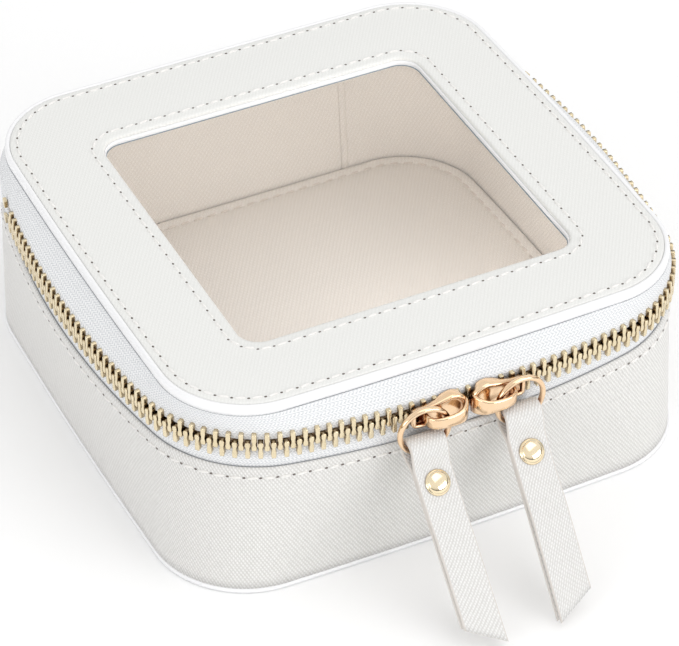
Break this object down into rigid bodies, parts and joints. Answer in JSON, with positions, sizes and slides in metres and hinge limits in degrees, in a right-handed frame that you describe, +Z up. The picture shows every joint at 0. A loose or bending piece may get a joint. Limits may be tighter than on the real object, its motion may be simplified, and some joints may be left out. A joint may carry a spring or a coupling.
{
  "type": "jewelry box",
  "caption": "Square zipped travel jewelry box with rounded corners, clear window in the hinged lid, and zip sliders with leather pulls.",
  "frame": {"origin": "middle of the flat bottom face of the case", "axes": "+X right, +Y towards the hinge at the back, +Z up out of the lid"},
  "size_m": [0.125, 0.1554, 0.0472],
  "materials": {
    "leatherette": "fine cross-hatched, satin",
    "lining": "fine cross-hatched, satin",
    "board": "matte",
    "foam": "matte",
    "thread": "satin",
    "zip_tape": "woven, matte",
    "zip_teeth": "polished",
    "clear_sheet": "clear, glossy",
    "rose_gold": "polished",
    "rivet_gold": "polished"
  },
  "bodies": {
    "case": {"bottom_cover": "leatherette", "bottom_board": "board", "floor_foam": "foam", "floor_lining": "lining", "floor_stitching": "thread", "outer_wall": "leatherette", "wall_board": "board", "wall_lining": "lining", "lining_seam": "lining", "wall_stitching": "thread", "lower_tape": "zip_tape", "lower_teeth": "zip_teeth", "lower_end_stops": "zip_teeth", "hinge_strip_lower": "leatherette"},
    "lid": {"lid_cover": "leatherette", "lid_rim": "leatherette", "lid_board": "board", "lid_lining": "lining", "window": "clear_sheet", "lid_stitching": "thread", "window_stitching": "thread", "upper_tape": "zip_tape", "upper_teeth": "zip_teeth", "upper_end_stops": "zip_teeth", "hinge_strip_upper": "leatherette"},
    "slider_left": {"slider_left": "rose_gold", "slider_back_left": "rose_gold"},
    "ring_left": {"ring_left": "rose_gold"},
    "pull_left": {"strap_left": "leatherette", "rivet_left": "rivet_gold", "rivet_back_left": "rivet_gold"},
    "slider_right": {"slider_right": "rose_gold", "slider_back_right": "rose_gold"},
    "ring_right": {"ring_right": "rose_gold"},
    "pull_right": {"strap_right": "leatherette", "rivet_right": "rivet_gold", "rivet_back_right": "rivet_gold"}
  },
  "joints": [
    {"name": "lid_hinge", "type": "hinge", "parent": "case", "child": "lid", "pos_m": [0, 0.0617, 0.0382], "axis": [-1, 0, 0], "range_deg": [0, 180]},
    {"name": "slider_left_travel", "type": "hinge", "parent": "case", "child": "slider_left", "pos_m": [0, 0.16495, 0.0382], "axis": [0, 0, -1], "range_deg": [0, 5.4]},
    {"name": "ring_left_swing", "type": "hinge", "parent": "slider_left", "child": "ring_left", "pos_m": [-0.00653, -0.06511, 0.037], "axis": [-0.1391, 0.0046, 0.9903], "range_deg": [-3, 5]},
    {"name": "pull_left_swing", "type": "hinge", "parent": "ring_left", "child": "pull_left", "pos_m": [-0.01172, -0.06494, 0.03225], "axis": [-0.9998, -0.0197, 0], "range_deg": [-37, 100]},
    {"name": "slider_right_travel", "type": "hinge", "parent": "case", "child": "slider_right", "pos_m": [0, 0.16495, 0.0382], "axis": [0, 0, 1], "range_deg": [0, 5.9]},
    {"name": "ring_right_swing", "type": "hinge", "parent": "slider_right", "child": "ring_right", "pos_m": [0.00429, -0.06516, 0.037], "axis": [-0.1391, -0.0032, -0.9903], "range_deg": [-3, 5]},
    {"name": "pull_right_swing", "type": "hinge", "parent": "ring_right", "child": "pull_right", "pos_m": [0.00949, -0.06504, 0.03225], "axis": [-0.9996, 0.0294, 0], "range_deg": [-37, 100]}
  ]
}
